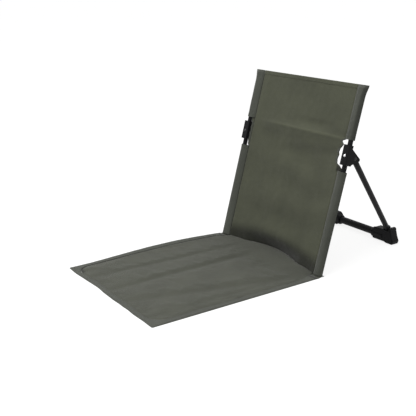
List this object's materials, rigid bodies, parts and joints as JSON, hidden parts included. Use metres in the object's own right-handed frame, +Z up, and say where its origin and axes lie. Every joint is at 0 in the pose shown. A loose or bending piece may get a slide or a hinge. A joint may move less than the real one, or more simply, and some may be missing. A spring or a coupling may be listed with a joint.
{
  "type": "folding floor chair",
  "caption": "Folding floor chair: cloth back on two leaning poles, a hinged rear stand with a cross tube, and a flat padded seat mat that folds up onto the back.",
  "frame": {"origin": "on the floor, midway between the poles, where seat and back are sewn together", "axes": "+X towards the sitter's left, +Y to the rear (the stand), +Z up; the seat mat runs along -Y"},
  "size_m": [0.4124, 0.8084, 0.4496],
  "materials": {
    "coated_tube": "satin black powder coat on thin steel tube",
    "moulded_nylon": "fine grained black moulded nylon",
    "bright_rivet": "plated steel rivet",
    "dark_rivet": "blackened steel rivet",
    "back_cloth": "olive grey woven polyester cloth, coated behind",
    "seat_cloth": "olive grey woven polyester cloth",
    "foam_sheet": "thin foam sheet"
  },
  "bodies": {
    "back": {"pole_right": "coated_tube", "pole_left": "coated_tube", "pole_top_cap_right": "moulded_nylon", "pole_top_cap_left": "moulded_nylon", "pole_bottom_cap_right": "moulded_nylon", "pole_bottom_cap_left": "moulded_nylon", "bracket_right": "moulded_nylon", "bracket_left": "moulded_nylon", "bracket_rivets": "bright_rivet", "leg_pin_right": "dark_rivet", "leg_pin_left": "dark_rivet", "back_panel": "back_cloth", "top_hem": "back_cloth", "cut_out_binding_right": "back_cloth", "cut_out_binding_left": "back_cloth", "upper_sleeve_right": "back_cloth", "upper_sleeve_left": "back_cloth", "lower_sleeve_right": "back_cloth", "lower_sleeve_left": "back_cloth", "joint_band": "seat_cloth"},
    "stand": {"leg_right": "coated_tube", "leg_left": "coated_tube", "cross_tube": "coated_tube", "shoe_right": "moulded_nylon", "shoe_left": "moulded_nylon", "tube_rivets": "dark_rivet", "leg_rivets": "dark_rivet"},
    "seat": {"seat_cover": "seat_cloth", "seat_filling": "foam_sheet", "seat_under_cloth": "seat_cloth", "seat_side_hem_right": "seat_cloth", "seat_side_hem_left": "seat_cloth", "seat_front_hem": "seat_cloth"}
  },
  "joints": [
    {"name": "stand_fold", "type": "hinge", "parent": "back", "child": "stand", "pos_m": [0, 0.08904, 0.27888], "axis": [-1, 0, 0], "range_deg": [0, 58]},
    {"name": "seat_fold", "type": "hinge", "parent": "back", "child": "seat", "pos_m": [0, -0.013, 0.003], "axis": [-1, 0, 0], "range_deg": [0, 100]}
  ]
}
